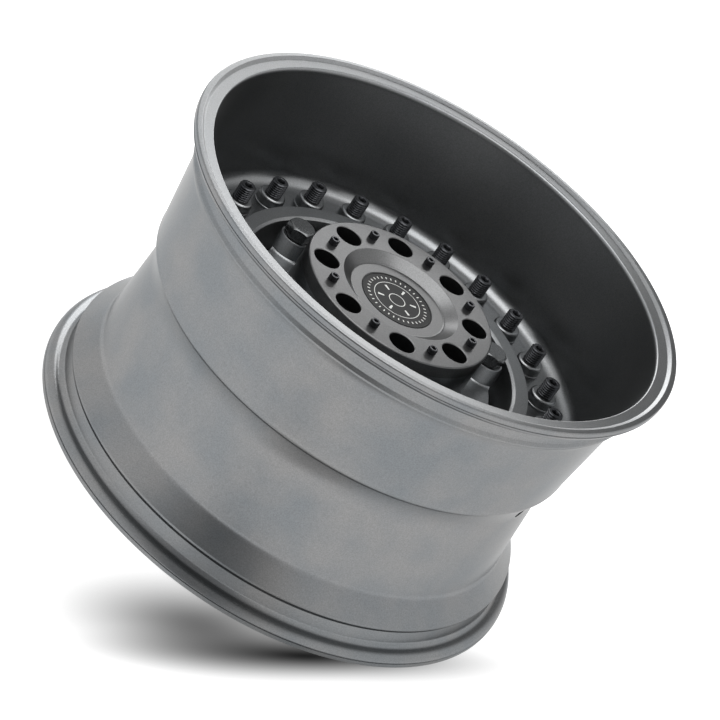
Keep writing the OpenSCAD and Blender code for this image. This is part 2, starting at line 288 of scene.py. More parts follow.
# %% Sizes of the disc and the hub
WEB_Z = 66.9
WEB_BACK_Z = WEB_Z - 16
SHOULDER_Z = WEB_Z + 3.5
WELL_START_Z = WEB_Z - 21
WELL_Z = WEB_Z - 36
CHANNEL_FILLET = 16.5
RING_RO = 174.4
RING_RI = 159.3
RING_H = 20.0
RING_BEVEL = 3.6
RING_SLOPE = 6.0
GROOVE_RI = 139.5
GROOVE_RO = RING_RI - RING_BEVEL
GROOVE_D = 26.0
GROOVE_FILLET = 4.0
SMALL_FILLET = 4.0
EDGE = 0.8
HUB_H = 129.4
HUB_R = 105.4
HUB_BACK_Z = WEB_Z - GROOVE_D - 12
HUB_BACK_FILLET = 8.0
BORE_R = 125.1 / 2
BORE_CHAMFER = 2.0
MOUNT_R = 102.0
MOUNT_EDGE = 4.0
PLATE_T = 14.0
HUB_TOP_Z = HUB_H - PLATE_T
print("disc face", WEB_Z, "mm and hub plate", HUB_H, "mm above the mounting face")

# %% [markdown]
# ## The section of the tyre side
# A tyre sits on the tapered seat beside each flange, and the low hump keeps it there. Between the humps the
# barrel steps down to the well, which lets the tyre be pulled on. The edge of each flange carries one shallow
# turned line. The section could be drawn by hand as a curve, but written as arcs and sizes it can be checked
# against a drawing. One function makes both flanges, because they mirror each other.

# %% Section of the tyre side
def flange(wall_z, way):
    """Tyre side of one flange, from its widest circle to the crest of the safety hump."""
    hump_foot = SEAT_R - math.tan(math.radians(SEAT_TAPER)) * (HUMP_IN - HUMP_HALF)
    hump = [(hump_foot, HUMP_HALF), (hump_foot + 0.5, HUMP_HALF - 1.2)]
    hump += [(HUMP_R - 0.15, 1.7), (HUMP_R, 1), (HUMP_R, -1)]
    return (
        [(RIM_R - depth, wall_z + way * out) for depth, out in TURNED_LINE]
        + arc((RIM_R - FLANGE_R, wall_z + way * FLANGE_R), FLANGE_R, -way * FLANGE_R, 18, 90, 12)
        + arc((SEAT_R + SEAT_FILLET, wall_z - way * SEAT_FILLET), -SEAT_FILLET, way * SEAT_FILLET, 90, 0, 12)
        + [(r, wall_z - way * (HUMP_IN - from_crest)) for r, from_crest in hump]
    )


def tyre_side():
    """Tyre side of the whole rim, from the outboard flange to the inboard one."""
    shoulder = (SHOULDER_R - SHOULDER_ROUND, SHOULDER_Z - SHOULDER_DROP)
    return (
        flange(OUT_WALL, 1)
        + [(BARREL_R, BARREL_Z), (SHOULDER_R, SHOULDER_Z)]
        + arc(shoulder, SHOULDER_ROUND, SHOULDER_ROUND, 0, -50, 8)
        + [(WELL_START_R, WELL_START_Z), (WELL_R, WELL_Z), (WELL_END_R, WELL_END_Z), (STEP_R, STEP_Z)]
        + flange(IN_WALL, -1)[::-1]
    )


print("tyre side:", len(tyre_side()), "points")

# %% [markdown]
# ## The section of the hollow side, the disc and the lip
# The barrel's wall is about as thick everywhere, so its hollow side follows the tyre side at that distance.
# The disc stands deep in the rim, joined to it by a large fillet, and has a raised ring with a deep groove
# inside it. The lip shows most of all, so its edge, band and ring each have points of their own. Four short
# functions are easier to read than one long list of points.

# %% Section of the hollow side and the disc's back
def brake_side():
    """Inboard flange edge and the hollow side of the barrel, up to the back of the disc."""
    foot_face, thick, lower = 11.5, 6, 3
    inner_r = SEAT_R - thick
    centre = (WELL_R - WALL - CHANNEL_FILLET, WEB_BACK_Z - CHANNEL_FILLET)
    return (
        arc((RIM_R - LIP_ROUND, FOOT_Z - LIP_TOP + LIP_ROUND), LIP_ROUND, LIP_ROUND, 0, -90, 6)
        + [(RIM_R - foot_face, FOOT_Z - LIP_TOP), (inner_r, IN_WALL - lower), (inner_r, IN_HUMP_Z - lower)]
        + [(STEP_R - WALL, STEP_Z - lower), (WELL_END_R - WALL, WELL_END_Z), (WELL_R - WALL, WELL_Z)]
        + arc(centre, CHANNEL_FILLET, CHANNEL_FILLET, 0, 90, 12)
    )


def disc_back():
    """Back of the disc and the mounting pad, from the barrel to the bore."""
    centre = (HUB_R + HUB_BACK_FILLET, HUB_BACK_Z - HUB_BACK_FILLET)
    return (
        [(RING_RO + RING_SLOPE, WEB_BACK_Z), (RING_RI - RING_SLOPE, HUB_BACK_Z)]
        + arc(centre, HUB_BACK_FILLET, HUB_BACK_FILLET, 90, 180)
        + [(HUB_R, MOUNT_EDGE), (MOUNT_R, 0), (BORE_R + BORE_CHAMFER, 0), (BORE_R, BORE_CHAMFER)]
    )


print("hollow side and back:", len(brake_side()) + len(disc_back()), "points")


# %% Section of the disc's front and the lip
def disc_front():
    """Front of the hub, the groove and the raised ring, from the bore to the stud channel."""
    floor_z = WEB_Z - GROOVE_D + GROOVE_FILLET
    top = WEB_Z + RING_H
    return (
        [(BORE_R, HUB_TOP_Z), (HUB_R, HUB_TOP_Z)]
        + arc((HUB_R + SMALL_FILLET, WEB_Z + SMALL_FILLET), SMALL_FILLET, SMALL_FILLET, 180, 270, 8)
        + arc((GROOVE_RI - EDGE, WEB_Z - EDGE), EDGE, EDGE, 90, 0, 4)
        + arc((GROOVE_RI + GROOVE_FILLET, floor_z), GROOVE_FILLET, GROOVE_FILLET, 180, 270, 6)
        + arc((GROOVE_RO - GROOVE_FILLET, floor_z), GROOVE_FILLET, GROOVE_FILLET, 270, 360, 6)
        + [(GROOVE_RO, top - 2.4), (GROOVE_RO + 0.25, top - 1.95), (GROOVE_RO + EDGE, top - 1.5)]
        + [(RING_RI - 0.4, top - 0.1), (RING_RI, top)]
        + arc((RING_RO - EDGE, top - EDGE), EDGE, EDGE, 90, 0, 4)
        + arc((RING_RO + SMALL_FILLET, WEB_Z + SMALL_FILLET), SMALL_FILLET, SMALL_FILLET, 180, 270, 8)
    )


def dish_side():
    """Hollow front of the barrel and the face of the lip."""
    channel_r = SHOULDER_R - WALL + 1.6
    band_z = LIP_Z + LIP_BAND
    top = LIP_Z + LIP_TOP
    return (
        arc((channel_r - CHANNEL_FILLET, WEB_Z + CHANNEL_FILLET), CHANNEL_FILLET, CHANNEL_FILLET, -90, 0, 16)
        + [(BARREL_R - WALL + 0.3, BARREL_Z)]
        + arc((LIP_EDGE_R, band_z - LIP_EDGE[1]), -LIP_EDGE[0], LIP_EDGE[1], 0, 90, 10)
        + [(LIP_BAND_R - 0.6, band_z + LIP_LEAN - 0.2), (LIP_BAND_R, band_z + LIP_LEAN)]
        + arc((LIP_RING_R + 0.5, top - 1.35), -LIP_RING_ROUND, LIP_RING_ROUND, 40, 90, 4)
        + arc((RIM_R - LIP_ROUND, top - LIP_ROUND), LIP_ROUND, LIP_ROUND, 90, 0, 6)
    )


rim_section = disc_front() + dish_side() + tyre_side() + brake_side() + disc_back()
print("whole section:", len(rim_section), "points")

# %% [markdown]
# ## Bosses and towers
# Each stud stands on a round boss with a rounded shoulder, and each hexagon bolt on a tower that leans out
# over the groove. Both could be pulled out of the disc's faces, but turned solids that are copied round the
# wheel come out exactly alike. A tower is turned round its own bolt, and a cone about the wheel's axis trims
# the side over the groove. Its edges are rounded after that, because in the picture they shine as thin lines.

# %% Sizes of studs, bolts and screws
STUDS = 24
STUD_CIRCLE = 201.35
STUD_R = 9.0
STUD_H = 17.3
STUD_HOLE = 22.0
BOSS_R = 15.0
BOSS_H = 13.0
BOSS_ROUND = 3.0
BOSS_PAD = (15.8, 2.6)
BOSS_TOP = WEB_Z + BOSS_H
BOLTS = 6
BOLT_CIRCLE = 134.4
BOLT_FIRST = 37.5
BOLT_TURN = 34.0
BOLT_AF = 27.0
BOLT_H = 12.8
BOLT_SHANK = 26.0
TOWER_H = 16.6
TOWER_TOP = WEB_Z + TOWER_H
TOWER_FOOT_R = 28.0
TOWER_TOP_R = 17.6
TOWER_LEAN = 10.0
TOWER_WAIST = (24.6, 2.0)
WAIST_ROUND = 1.2
LUGS = 8
LUG_FIRST = 22.5
PCD_R = 85.0
SCREW_R = 3.0
SCREW_HEAD_R = 5.0
SCREW_HEAD_H = 6.2
SCREW_DEPTH = 12
PLAY = 0.1
OVER = 2.0
print(STUDS, "stud bosses and", BOLTS, "bolt towers")


# %% Make the bosses and the towers
def stud_boss():
    """Boss round one ring stud, which rises from a low pad a little wider than itself."""
    pad_r, pad_h = BOSS_PAD
    return turned("stud_boss", (
        [(0, WEB_Z - OVER), (pad_r, WEB_Z - OVER)]
        + arc((pad_r - EDGE, WEB_Z + pad_h - EDGE), EDGE, EDGE, 0, 80, 4)
        + [(BOSS_R, WEB_Z + pad_h + 0.2)]
        + arc((BOSS_R - BOSS_ROUND, BOSS_TOP - BOSS_ROUND), BOSS_ROUND, BOSS_ROUND, 0, 90, 8)
        + [(0, BOSS_TOP)]
    ), 72)


def bolt_tower():
    """Tower under one hexagon bolt, about the bolt's own axis: a steep wall over a low skirt."""
    waist_r, waist_h = TOWER_WAIST
    slope = (TOWER_FOOT_R - waist_r) / waist_h
    return turned("bolt_tower", (
        [(0, WEB_Z - OVER), (TOWER_FOOT_R + OVER * slope, WEB_Z - OVER)]
        + [(waist_r + WAIST_ROUND, WEB_Z + waist_h - WAIST_ROUND / slope)]
        + [(waist_r + WAIST_ROUND / 2, WEB_Z + waist_h - WAIST_ROUND / 4)]
        + [(waist_r, WEB_Z + waist_h + WAIST_ROUND)]
        + [(TOWER_TOP_R, TOWER_TOP - EDGE), (TOWER_TOP_R - EDGE, TOWER_TOP), (0, TOWER_TOP)]
    ), 120)


def leaning_cone():
    """Cone that trims the towers where they lean out over the groove."""
    lean = TOWER_LEAN / TOWER_H
    return turned("leaning_cone", [
        (0, WEB_Z - 2 * OVER), (GROOVE_RI - 2 * OVER * lean, WEB_Z - 2 * OVER),
        (GROOVE_RI + (TOWER_H + OVER) * lean, TOWER_TOP + OVER), (0, TOWER_TOP + OVER),
    ], RIM_STEPS)


bosses = pattern("bosses", stud_boss(), around(STUDS, 0, STUD_CIRCLE))
towers = pattern("towers", bolt_tower(), around(BOLTS, BOLT_FIRST, BOLT_CIRCLE))
towers = combine(towers, leaning_cone(), "INTERSECT")
towers = soften(towers, 0.9, 25)
print("bosses", len(bosses.data.polygons), "faces, towers", len(towers.data.polygons), "faces")

# %% [markdown]
# ## Wells and holes
# The wheel nuts sit in deep wells on a cone seat. Pockets between them lighten the mounting pad, and a hole
# for the valve runs out through the well of the rim. Dark spots in a texture would look flat as soon as the
# camera moves. So each hole is cut by a tool of the hole's own shape, as a drill would cut it.

# %% Make the drills
LUG_WELL_R = 14.0
LUG_HOLE_R = 7.9
NUT_SEAT_ANGLE = 30.0
PAD_T = 22.0
VALVE_R = 11.5 / 2
VALVE_SEAT_R = 13.5
VALVE_SEAT_D = 2.9
VALVE_ANGLE = -15.0
VALVE_Z = WEB_Z - 24.5


def lug_drill():
    """Well, cone seat and hole for one wheel stud."""
    seat_r = LUG_WELL_R - 3
    seat_h = (seat_r - LUG_HOLE_R) / math.tan(math.radians(NUT_SEAT_ANGLE))
    return turned("lug_drill", [
        (0, -OVER), (LUG_HOLE_R, -OVER), (LUG_HOLE_R, PAD_T - seat_h), (seat_r, PAD_T), (LUG_WELL_R, PAD_T),
        (LUG_WELL_R, HUB_H + OVER), (0, HUB_H + OVER),
    ], 72)


def plain_drill(radius, low, high):
    """Straight drill between two heights."""
    return turned("plain_drill", [(0, low), (radius, low), (radius, high), (0, high)], 48)


def relief_cutter():
    """Round-ended pocket in the mounting pad between two wheel studs."""
    reach, radius, top = 4.0, 8.0, 14.0
    outline = [(x + reach, y) for x, y in arc((0, 0), radius, radius, -90, 90, 20)]
    outline += [(x - reach, y) for x, y in arc((0, 0), radius, radius, 90, 270, 20)]
    count = len(outline)
    points = [(x, y, -OVER) for x, y in outline] + [(x, y, top) for x, y in outline]
    sides = [(k, (k + 1) % count, (k + 1) % count + count, k + count) for k in range(count)]
    caps = [tuple(range(count))[::-1], tuple(range(count, 2 * count))]
    return tidy_faces(add_mesh("relief_cutter", points, sides + caps))


def valve_drill(radius, low, high):
    """Drill that runs out from the axis through the well, at the valve."""
    drill = plain_drill(radius, low, high)
    drill.data.transform(placed(VALVE_ANGLE, 0, VALVE_Z) @ Matrix.Rotation(math.radians(90), 4, "Y"))
    return drill


print("drills: lug wells, stud and bolt holes, relief pockets, valve hole")

# %% Build the casting
wheel = swept_ring("wheel_casting_visual", rim_section, RIM_STEPS)
wheel = combine(wheel, bosses, "UNION")
wheel = combine(wheel, towers, "UNION")
screw_hole = plain_drill(SCREW_R + PLAY, HUB_TOP_Z - SCREW_DEPTH, HUB_H + OVER)
stud_hole = plain_drill(STUD_R + PLAY, BOSS_TOP - STUD_HOLE, BOSS_TOP + OVER)
bolt_hole = plain_drill(STUD_R + PLAY, TOWER_TOP - BOLT_SHANK, TOWER_TOP + OVER)
for name, drill, places in (
    ("lug_wells", lug_drill(), around(LUGS, LUG_FIRST, PCD_R)),
    ("reliefs", relief_cutter(), around(LUGS, 0, PCD_R)),
    ("screw_holes", screw_hole, around(LUGS, 0, PCD_R)),
    ("stud_holes", stud_hole, around(STUDS, 0, STUD_CIRCLE)),
    ("bolt_holes", bolt_hole, around(BOLTS, BOLT_FIRST, BOLT_CIRCLE)),
):
    wheel = combine(wheel, pattern(name, drill, places), "DIFFERENCE")
wheel = combine(wheel, valve_drill(VALVE_R, WELL_R - WALL - 30, RIM_R), "DIFFERENCE")
wheel = combine(wheel, valve_drill(VALVE_SEAT_R, WELL_R + VALVE_SEAT_D, WELL_R + 23), "DIFFERENCE")
wheel = shade(wheel)
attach(wheel, BODY)
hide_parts("wheel_casting")
print("casting", len(wheel.data.polygons), "faces")

# %% [markdown]
# ## The hub plate
# A flat plate with eight nut openings is screwed to the hub. It is a swept ring with drilled holes, made as
# the casting is. Its rim and its openings have rounded edges, which catch the light as thin lines. A Bevel
# modifier could round them too, but in the section each edge gets its own radius.

# %% Make the hub plate
DISH_RO = 68.0
DISH_RI = 56.3
DISH_D = 8.6
PLATE_ROUND = 1.7
OPENING_ROUND = 1.1
FLOOR_Z = HUB_H - DISH_D


def make_plate():
    """Ring with a rounded rim and a cone for the cap, with nut openings and screw holes."""
    plate = swept_ring("hub_plate_visual", (
        [(DISH_RI + PLAY, HUB_TOP_Z), (HUB_R, HUB_TOP_Z), (HUB_R, HUB_H - PLATE_ROUND)]
        + arc((HUB_R - PLATE_ROUND, HUB_H - PLATE_ROUND), PLATE_ROUND, PLATE_ROUND, 0, 90, 6)
        + [(DISH_RO, HUB_H), (DISH_RI + PLAY, FLOOR_Z)]
    ), 240)
    mouth = LUG_WELL_R + OPENING_ROUND
    opening = turned("opening", (
        [(0, HUB_TOP_Z - OVER), (LUG_WELL_R, HUB_TOP_Z - OVER), (LUG_WELL_R, HUB_H - OPENING_ROUND)]
        + arc((mouth, HUB_H - OPENING_ROUND), -OPENING_ROUND, OPENING_ROUND, 0, 85, 5)
        + [(mouth, HUB_H + OVER), (0, HUB_H + OVER)]
    ), 96)
    plate = combine(plate, pattern("openings", opening, around(LUGS, LUG_FIRST, PCD_R)), "DIFFERENCE")
    hole = plain_drill(SCREW_R + PLAY, HUB_TOP_Z - OVER, HUB_H + OVER)
    return combine(plate, pattern("holes", hole, around(LUGS, 0, PCD_R)), "DIFFERENCE")


plate = shade(make_plate())
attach(plate, BODY)
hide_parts("hub_plate")
print("hub plate", len(plate.data.polygons), "faces")

# %% [markdown]
# ## The cap and the badge
# A dished cap sits in the middle of the plate, with a skirt that passes through it. A black disc with a fine
# raised rim lies in the floor of the dish. Both are turned solids. The badge's print is left to its material,
# because ink has no thickness that could be seen.

# %% Make the cap and the badge
CAP_T = 2.6
CAP_ROUND = 0.8
DISH_ROUND = 3.6
SKIRT_H = 5.0
BADGE_R = 40.2
BADGE_T = 1.6
BADGE_RIM = 0.4
BADGE_RECESS = 1.2
RECESS_ROUND = 0.6


def make_cap():
    """Dished cap with a skirt that passes through the plate."""
    wall_r = DISH_RO - CAP_T
    foot_r = DISH_RI - CAP_T
    seat_r = BADGE_R + PLAY
    back_z = FLOOR_Z - BADGE_RECESS - CAP_T
    return turned("centre_cap_visual", (
        [(0, back_z), (foot_r, back_z), (foot_r, FLOOR_Z - SKIRT_H), (DISH_RI, FLOOR_Z - SKIRT_H)]
        + [(DISH_RI, FLOOR_Z), (DISH_RO, HUB_H)]
        + arc((wall_r + CAP_ROUND, HUB_H - CAP_ROUND), CAP_ROUND, CAP_ROUND, 90, 145, 4)
        + arc((foot_r - 1.6, FLOOR_Z + DISH_ROUND), DISH_ROUND, DISH_ROUND, -36, -90, 6)
        + arc((seat_r + RECESS_ROUND, FLOOR_Z - RECESS_ROUND), -RECESS_ROUND, RECESS_ROUND, 90, 0, 4)
        + [(seat_r, FLOOR_Z - BADGE_RECESS), (0, FLOOR_Z - BADGE_RECESS)]
    ), 240)


def make_badge():
    """Flat disc with a raised rim."""
    low = FLOOR_Z - BADGE_RECESS
    face = low + BADGE_T - BADGE_RIM
    return turned("cap_badge_visual", (
        [(0, low), (BADGE_R, low)]
        + arc((BADGE_R - BADGE_RIM, face), BADGE_RIM, BADGE_RIM, 0, 90, 4)
        + arc((BADGE_R - 1.3, face), BADGE_RIM, BADGE_RIM, 90, 180, 4)
        + [(0, face)]
    ), 192)


cap = shade(make_cap())
badge = shade(make_badge())
for piece, node, slot in ((cap, "centre_cap", "cap"), (badge, "cap_badge", "badge")):
    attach(piece, BODY)
    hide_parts(node)
print("cap", len(cap.data.polygons), "faces, badge", len(badge.data.polygons), "faces")

# %% [markdown]
# ## Threaded studs
# A ring stud is a headless screw: a rolled thread, a rounded tip and a hexagon socket. The picture shows the
# thread as a row of bright ridges, so it is real geometry here: a tube whose radius follows a helix. A bump
# texture would save faces, but its outline would be smooth against the bright channel. The studs are alike,
# so they share one mesh.

# %% Helpers for threads and sockets
PITCH = 2.5
THREAD_DEPTH = 1.5
TIP_ROUND = 2.0


def hexagon_radius(angle, flats):
    """Distance from the centre to a hexagon's outline, at an angle in radians."""
    off = (angle + math.pi / 6) % (math.pi / 3) - math.pi / 6
    return flats / 2 / math.cos(off)


def thread_radius(height, angle):
    """Radius of the stud at a height below its tip, following the helix."""
    groove = (0.5 - 0.5 * math.cos(math.tau * height / PITCH + angle)) ** 0.75
    limit = STUD_R
    if height < TIP_ROUND:
        limit = STUD_R - TIP_ROUND + math.sqrt(TIP_ROUND**2 - (TIP_ROUND - height) ** 2)
    return min(STUD_R - THREAD_DEPTH * groove, limit)


def circle_ring(radius, height, count):
    """One ring of points. The radius is a number, or a function of the angle."""
    turns = [math.tau * i / count for i in range(count)]
    radii = [radius(t) if callable(radius) else radius for t in turns]
    return [(r * math.cos(t), r * math.sin(t), height) for r, t in zip(radii, turns)]


def rings_to_mesh(name, levels, count):
    """A closed skin over rings, each given by its radius and height, with a face at both ends."""
    points = [p for radius, height in levels for p in circle_ring(radius, height, count)]
    faces = []
    for j in range(len(levels) - 1):
        for i in range(count):
            k = (i + 1) % count
            faces.append((j * count + i, j * count + k, (j + 1) * count + k, (j + 1) * count + i))
    faces.append(tuple(range(count))[::-1])
    faces.append(tuple(range(len(points) - count, len(points))))
    return tidy_faces(add_mesh(name, points, faces))


def repeat(master, stem, places):
    """Objects that share the master's mesh, one at each place."""
    made = []
    for i, place in enumerate(places):
        copy = bpy.data.objects.new(f"{stem}_{i + 1}_visual", master.data)
        bpy.context.scene.collection.objects.link(copy)
        copy.matrix_world = place
        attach(copy, BODY)
        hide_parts(f"{stem}_{i + 1}")
        made.append(copy)
    bpy.data.objects.remove(master)
    return made


print("thread of pitch", PITCH, "mm and depth", THREAD_DEPTH, "mm")

# %% Make one ring stud and repeat it
STUD_SOCKET = (8.4, 5.6)
SOCKET_MOUTH_R = 5.1
THREAD_END = 1.0
ROWS_PER_TURN = 10


def make_stud(name):
    """Threaded stud with its tip at height 0 of the object's own frame."""
    flats, deep = STUD_SOCKET
    reach = STUD_H + THREAD_END
    rows = int(reach / (PITCH / ROWS_PER_TURN))
    levels = [(STUD_R, -(STUD_H + STUD_HOLE)), (STUD_R, -STUD_H - THREAD_END - 0.3)]
    for i in range(rows, -1, -1):
        below = 0.12 + reach * i / rows
        levels.append((lambda t, below=below: thread_radius(below, t), -below))
    levels += [(STUD_R - TIP_ROUND, 0), (SOCKET_MOUTH_R, 0), (lambda t: hexagon_radius(t, flats), -0.5)]
    levels += [(lambda t: hexagon_radius(t, flats), -deep), (1.2, -deep - 0.4)]
    return shade(rings_to_mesh(name, levels, 48), 65, False)


stud_places = around(STUDS, 0, STUD_CIRCLE, BOSS_TOP + STUD_H)
studs = repeat(make_stud("ring_stud"), "ring_stud", stud_places)
print("ring studs:", len(studs), "of", len(studs[0].data.polygons), "faces")

# %% [markdown]
# ## Cap screws
# A cap screw has a knurled cylinder head with a hexagon socket. The knurl lets fingers turn it, and here each
# second point of the circle lies a little deeper. A bump texture could show it as well, but the ring helper
# of the studs gives real grooves for almost nothing.

# %% Make the cap screws
SCREW_SOCKET = (5, 3.1)
KNURL_D = 0.22
KNURL_POINTS = 60


def make_screw(name):
    """Socket head cap screw that stands on height 0."""
    head, top = SCREW_HEAD_R, SCREW_HEAD_H
    flats, deep = SCREW_SOCKET

    def knurl(t):
        """Radius of the knurled wall, deeper at each second point."""
        return head - (KNURL_D if round(t / math.tau * KNURL_POINTS) % 2 else 0)

    def socket(t):
        """Radius of the socket's wall."""
        return hexagon_radius(t, flats)

    levels = [(SCREW_R, -PLATE_T - SCREW_DEPTH), (SCREW_R, 0), (head - 0.3, 0), (knurl, 0.4)]
    levels += [(knurl, top - 1.2), (head - 0.2, top - 0.9), (head - 0.45, top - 0.25)]
    levels += [(head - 0.9, top), (3.1, top)]
    levels += [(socket, top - 0.4), (socket, top - deep), (0.8, top - deep - 0.3)]
    return shade(rings_to_mesh(name, levels, KNURL_POINTS), 28)


screws = repeat(make_screw("cap_screw"), "cap_screw", around(LUGS, 0, PCD_R, HUB_H))
print("cap screws:", len(screws), "of", len(screws[0].data.polygons), "faces")

# %% [markdown]
# ## Hexagon bolts
# A bolt's head is forged as a hexagon, and its upper corners are then turned off by a cone, which leaves the
# scalloped chamfer that shines in the picture. The same two steps make it here: a prism, intersected with a
# turned cone. A plain bevel would give a straight chamfer instead. The edges are then rounded a little.

# %% Make the hexagon bolts
BOLT_FACE = 0.46
BOLT_EDGE = 0.28
CHAMFER_ANGLE = 30.0


def make_bolt(name):
    """Hexagon bolt that stands on height 0, with a washer face and a plain shank."""
    corner_r = BOLT_AF / math.cos(math.radians(30)) / 2
    face_r = BOLT_AF * BOLT_FACE
    top = BOLT_H + EDGE
    corners = [(corner_r * math.cos(k * math.pi / 3), corner_r * math.sin(k * math.pi / 3)) for k in range(6)]
    points = [(x, y, EDGE) for x, y in corners] + [(x, y, top) for x, y in corners]
    faces = [(k, (k + 1) % 6, (k + 1) % 6 + 6, k + 6) for k in range(6)]
    prism = tidy_faces(add_mesh(name, points, faces + [(5, 4, 3, 2, 1, 0), (6, 7, 8, 9, 10, 11)]))
    reach = corner_r + OVER
    chamfer_z = top - (reach - face_r) * math.tan(math.radians(CHAMFER_ANGLE))
    cone = turned("cone", [(0, -OVER), (reach, -OVER), (reach, chamfer_z), (face_r, top), (0, top)], 144)
    head = soften(combine(prism, cone, "INTERSECT"), BOLT_EDGE, 20)
    washer_r = BOLT_AF / 2 - EDGE
    shank = turned("shank", [
        (0, -BOLT_SHANK), (STUD_R, -BOLT_SHANK), (STUD_R, 0),
        (washer_r, 0), (washer_r, EDGE + 0.5), (0, EDGE + 0.5),
    ], 96)
    return shade(combine(head, shank, "UNION"), 24)


bolt_places = around(BOLTS, BOLT_FIRST, BOLT_CIRCLE, TOWER_TOP, BOLT_TURN)
bolts = repeat(make_bolt("hex_bolt"), "hex_bolt", bolt_places)
print("hexagon bolts:", len(bolts), "of", len(bolts[0].data.polygons), "faces")

# %% [markdown]
# ## Finishes
# Colours are written as sRGB hex values, as a paint chart gives them, and one function turns them into
# Blender's linear values. A second small function adds a node with its settings and links. Materials could be
# wired by hand in the shader editor, but as code each pattern keeps its real size in millimetres.

# %% Helpers for materials
def linear(hex_colour):
    """Blender's linear colour for an sRGB hex value."""
    parts = [int(hex_colour[i:i + 2], 16) / 255 for i in (1, 3, 5)]
    return [p / 12.92 if p <= 0.04045 else ((p + 0.055) / 1.055) ** 2.4 for p in parts] + [1.0]


def add(tree, kind, links=None, **settings):
    """Adds a node. A link is a value or another node's output, and settings are the node's own options."""
    made = tree.nodes.new(kind)
    for key, value in settings.items():
        setattr(made, key, value)
    for key, value in (links or {}).items():
        if isinstance(value, bpy.types.NodeSocket):
            tree.links.new(value, made.inputs[key])
        else:
            made.inputs[key].default_value = value
    return made


def new_material(name):
    """A material with an empty node tree."""
    material = bpy.data.materials.new(name)
    material.use_nodes = True
    material.node_tree.nodes.clear()
    return material, material.node_tree


def finish_material(tree, shader):
    """Links the shader to the output."""
    add(tree, "ShaderNodeOutputMaterial", {"Surface": shader.outputs[0]})


def dress(material, *pieces):
    """Gives the pieces this material alone. A boolean leaves an empty slot behind, which goes first."""
    for piece in pieces:
        piece.data.materials.clear()
        piece.data.materials.append(material)


def per_metre(size_mm):
    """Noise scale for a pattern of this size in millimetres."""
    return 1 / (size_mm * MM)


print("linear value of #808080:", round(linear("#808080")[0], 4))

# %% [markdown]
# ## Satin gunmetal powder coat
# The casting, the plate and the cap carry a metallic powder coat: plastic powder with metal flakes, sprayed
# on dry and baked. The flakes shine like a rough metal, so the shader is metallic, and a thin clear coat adds
# the resin's own gloss. On the outside the colour has soft lighter and darker clouds, which are painted
# reflection: they stand in for an uneven reflection of the studio. Painting them by hand would need a
# texture. Noise of the right size gives them without one.

# %% Make the powder coats
# Size in millimetres of the clouds of painted reflection on the outside
REFLECTION_CLOUD_SIZE = 75
# Where the coat faces the axis it has hardly any of the painted reflection clouds, and keeps near this share
# of the paler colour
PLAIN_SHARE = 0.6
# Real flakes are far under a millimetre across and would not show, so they are drawn this coarse
FLAKE_SIZE = 1.3
FLAKE_SPREAD = 0.13
PEEL_SIZE = 2.2


def outside_mask(tree, where):
    """One where the surface faces away from the wheel's axis, and a fifth where it faces it."""
    place = add(tree, "ShaderNodeVectorMath", {0: where, 1: (1, 1, 0)}, operation="MULTIPLY")
    away = add(tree, "ShaderNodeVectorMath", {0: place.outputs[0]}, operation="NORMALIZE")
    facing = add(tree, "ShaderNodeTexCoord").outputs["Normal"]
    outward = add(tree, "ShaderNodeVectorMath", {0: facing, 1: away.outputs[0]}, operation="DOT_PRODUCT")
    return add(tree, "ShaderNodeMapRange", {
        "Value": outward.outputs["Value"], "From Min": 0.0, "From Max": 0.4, "To Min": 0.2, "To Max": 1.0})


def coat_colour(tree, where, clouds, low, high):
    """Colour between low and high with clouds of painted reflection, and the fine sparkle of the flakes."""
    flakes = add(tree, "ShaderNodeTexNoise", {"Vector": where, "Scale": per_metre(FLAKE_SIZE), "Detail": 2.0})
    full = add(tree, "ShaderNodeMapRange", {"Value": clouds, "From Min": 0.35, "From Max": 0.65})
    # The painted reflection clouds are full where the coat faces outward and faint where it faces the axis
    mask = outside_mask(tree, where)
    spread = add(tree, "ShaderNodeMix", {0: mask.outputs[0], 2: PLAIN_SHARE, 3: full.outputs[0]})
    tint = add(tree, "ShaderNodeMix", {0: spread.outputs[0], 6: linear(low), 7: linear(high)},
               data_type="RGBA")
    grain = add(tree, "ShaderNodeMapRange", {
        "Value": flakes.outputs["Fac"], "From Min": 0.3, "From Max": 0.7,
        "To Min": 1 - FLAKE_SPREAD, "To Max": 1 + FLAKE_SPREAD})
    colour = add(tree, "ShaderNodeMix", {0: 1.0, 6: tint.outputs[2], 7: grain.outputs[0]},
                 data_type="RGBA", blend_type="MULTIPLY")
    return colour.outputs[2]


def gunmetal_coat(name, low, high, roughness):
    """Metallic powder coat with soft clouds of painted reflection outside, sparkling flakes and a faint
    orange peel.
    """
    material, tree = new_material(name)
    where = add(tree, "ShaderNodeTexCoord").outputs["Object"]
    # Noise for the clouds of painted reflection, which also vary the roughness a little
    noise = add(tree, "ShaderNodeTexNoise", {
        "Vector": where, "Scale": per_metre(REFLECTION_CLOUD_SIZE), "Detail": 3.0, "Roughness": 0.5})
    clouds = noise.outputs["Fac"]
    peel = add(tree, "ShaderNodeTexNoise", {"Vector": where, "Scale": per_metre(PEEL_SIZE), "Detail": 1.0})
    bump = add(tree, "ShaderNodeBump", {"Height": peel.outputs["Fac"], "Strength": 0.03, "Distance": 0.0002})
    rough = add(tree, "ShaderNodeMapRange", {
        "Value": clouds, "From Min": 0.3, "From Max": 0.7,
        "To Min": roughness - 0.01, "To Max": roughness + 0.01})
    shader = add(tree, "ShaderNodeBsdfPrincipled", {
        "Base Color": coat_colour(tree, where, clouds, low, high), "Metallic": 1.0,
        "Roughness": rough.outputs[0], "Normal": bump.outputs[0],
        "Specular Tint": linear("#cccccc"), "Coat Weight": 0.25, "Coat Roughness": 0.2})
    finish_material(tree, shader)
    return material


